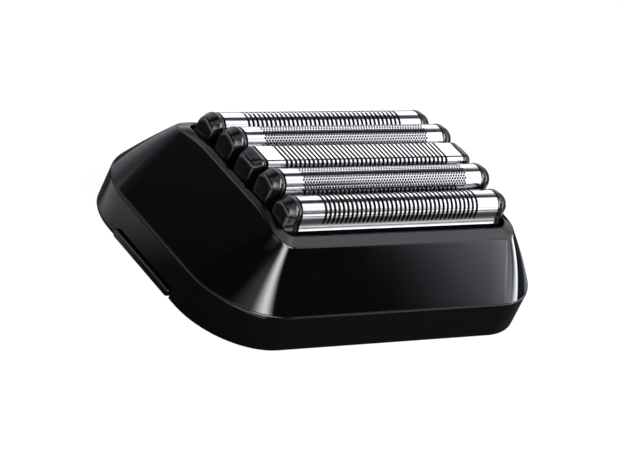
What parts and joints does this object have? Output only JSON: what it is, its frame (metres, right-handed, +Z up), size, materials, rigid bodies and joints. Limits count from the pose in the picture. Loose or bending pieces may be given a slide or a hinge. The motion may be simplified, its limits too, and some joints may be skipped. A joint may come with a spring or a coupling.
{
  "type": "shaver foil head",
  "caption": "Tapered gloss black shaver head with sprung metal foils over sliding cutters, release tabs at both ends, and a drive socket underneath.",
  "frame": {"origin": "centre of the skirt's flat lower rim", "axes": "+X along the foils, +Y to the back, +Z up out of the foils"},
  "size_m": [0.0644, 0.0396, 0.0198],
  "materials": {
    "gloss_black": "gloss",
    "satin_black": "semi-gloss",
    "dark_grey_plastic": "moulded",
    "foil_metal": "bright",
    "blade_steel": "ground",
    "spring_steel": "satin"
  },
  "bodies": {
    "housing": {"hood": "gloss_black", "skirt": "gloss_black", "base_plate": "dark_grey_plastic", "cassette_frame": "dark_grey_plastic", "tab_springs_left": "spring_steel", "tab_springs_right": "spring_steel", "foil_springs_1": "spring_steel", "foil_springs_2": "spring_steel", "foil_springs_3": "spring_steel", "foil_springs_4": "spring_steel", "foil_springs_5": "spring_steel"},
    "bridge": {"drive_bridge": "dark_grey_plastic", "cutter_springs_1": "spring_steel", "cutter_springs_2": "spring_steel", "cutter_springs_3": "spring_steel", "cutter_springs_4": "spring_steel", "cutter_springs_5": "spring_steel"},
    "tab_left": {"release_tab_left": "satin_black"},
    "tab_right": {"release_tab_right": "satin_black"},
    "foil_unit_1": {"foil_1": "foil_metal", "foil_frame_1": "satin_black"},
    "cutter_1": {"cutter_blades_1": "blade_steel", "cutter_carrier_1": "dark_grey_plastic"},
    "foil_unit_2": {"foil_2": "foil_metal", "foil_frame_2": "satin_black"},
    "cutter_2": {"cutter_blades_2": "blade_steel", "cutter_carrier_2": "dark_grey_plastic"},
    "foil_unit_3": {"foil_3": "foil_metal", "foil_frame_3": "satin_black"},
    "cutter_3": {"cutter_blades_3": "blade_steel", "cutter_carrier_3": "dark_grey_plastic"},
    "foil_unit_4": {"foil_4": "foil_metal", "foil_frame_4": "satin_black"},
    "cutter_4": {"cutter_blades_4": "blade_steel", "cutter_carrier_4": "dark_grey_plastic"},
    "foil_unit_5": {"foil_5": "foil_metal", "foil_frame_5": "satin_black"},
    "cutter_5": {"cutter_blades_5": "blade_steel", "cutter_carrier_5": "dark_grey_plastic"}
  },
  "joints": [
    {"name": "tab_left_press", "type": "slide", "parent": "housing", "child": "tab_left", "axis": [1, 0, 0], "range_m": [0, 0.001], "stiffness_N_per_m": 600, "springref_m": -0.001, "deforming": ["tab_springs_left"]},
    {"name": "tab_right_press", "type": "slide", "parent": "housing", "child": "tab_right", "axis": [-1, 0, 0], "range_m": [0, 0.001], "stiffness_N_per_m": 600, "springref_m": -0.001, "deforming": ["tab_springs_right"]},
    {"name": "bridge_slide", "type": "slide", "parent": "housing", "child": "bridge", "axis": [1, 0, 0], "range_m": [-0.001, 0.001]},
    {"name": "foil_1_float", "type": "slide", "parent": "housing", "child": "foil_unit_1", "axis": [0, 0, 1], "range_m": [-0.0012, 0], "stiffness_N_per_m": 300, "springref_m": 0.002, "deforming": ["foil_springs_1"]},
    {"name": "cutter_1_float", "type": "slide", "parent": "bridge", "child": "cutter_1", "axis": [0, 0, 1], "range_m": [-0.0012, 0], "deforming": ["cutter_springs_1"]},
    {"name": "foil_2_float", "type": "slide", "parent": "housing", "child": "foil_unit_2", "axis": [0, 0, 1], "range_m": [-0.0012, 0], "stiffness_N_per_m": 300, "springref_m": 0.002, "deforming": ["foil_springs_2"]},
    {"name": "cutter_2_float", "type": "slide", "parent": "bridge", "child": "cutter_2", "axis": [0, 0, 1], "range_m": [-0.0012, 0], "deforming": ["cutter_springs_2"]},
    {"name": "foil_3_float", "type": "slide", "parent": "housing", "child": "foil_unit_3", "axis": [0, 0, 1], "range_m": [-0.0012, 0], "stiffness_N_per_m": 300, "springref_m": 0.002, "deforming": ["foil_springs_3"]},
    {"name": "cutter_3_float", "type": "slide", "parent": "bridge", "child": "cutter_3", "axis": [0, 0, 1], "range_m": [-0.0012, 0], "deforming": ["cutter_springs_3"]},
    {"name": "foil_4_float", "type": "slide", "parent": "housing", "child": "foil_unit_4", "axis": [0, 0, 1], "range_m": [-0.0012, 0], "stiffness_N_per_m": 300, "springref_m": 0.002, "deforming": ["foil_springs_4"]},
    {"name": "cutter_4_float", "type": "slide", "parent": "bridge", "child": "cutter_4", "axis": [0, 0, 1], "range_m": [-0.0012, 0], "deforming": ["cutter_springs_4"]},
    {"name": "foil_5_float", "type": "slide", "parent": "housing", "child": "foil_unit_5", "axis": [0, 0, 1], "range_m": [-0.0012, 0], "stiffness_N_per_m": 300, "springref_m": 0.002, "deforming": ["foil_springs_5"]},
    {"name": "cutter_5_float", "type": "slide", "parent": "bridge", "child": "cutter_5", "axis": [0, 0, 1], "range_m": [-0.0012, 0], "deforming": ["cutter_springs_5"]}
  ],
  "couplings": [
    {"joint": "cutter_1_float", "follows": "foil_1_float", "ratio": 1},
    {"joint": "cutter_2_float", "follows": "foil_2_float", "ratio": 1},
    {"joint": "cutter_3_float", "follows": "foil_3_float", "ratio": 1},
    {"joint": "cutter_4_float", "follows": "foil_4_float", "ratio": 1},
    {"joint": "cutter_5_float", "follows": "foil_5_float", "ratio": 1}
  ]
}
